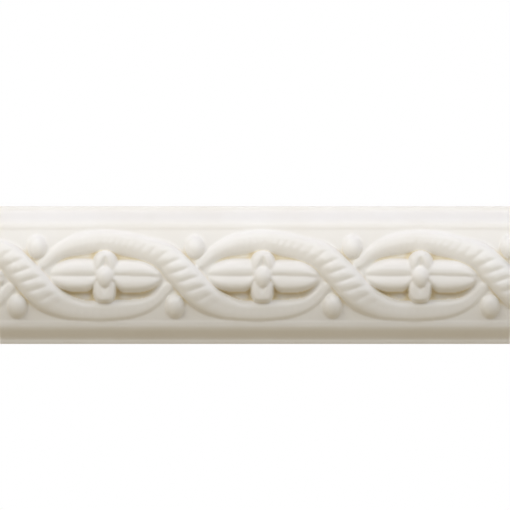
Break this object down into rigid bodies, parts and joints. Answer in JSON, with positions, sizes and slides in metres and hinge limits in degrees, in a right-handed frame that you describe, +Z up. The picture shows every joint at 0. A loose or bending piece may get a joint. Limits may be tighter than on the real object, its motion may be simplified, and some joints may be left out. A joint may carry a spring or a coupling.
{
  "type": "decorative moulding",
  "caption": "Straight run of carved-look wall moulding with a flat back: twisted scrolls crossing over one another between flowers and pearls, with ogee edges and flat lips.",
  "frame": {"origin": "Centre of the flat back, where the wall meets it.", "axes": "+X runs along the moulding, +Z is up the wall, +Y points into the wall, and the carved face looks to -Y."},
  "size_m": [0.2218, 0.0146, 0.06],
  "materials": {
    "primed_cream": "cream-white factory primer on cast rigid foam, satin"
  },
  "bodies": {
    "root": {"moulding": "primed_cream"}
  },
  "joints": []
}
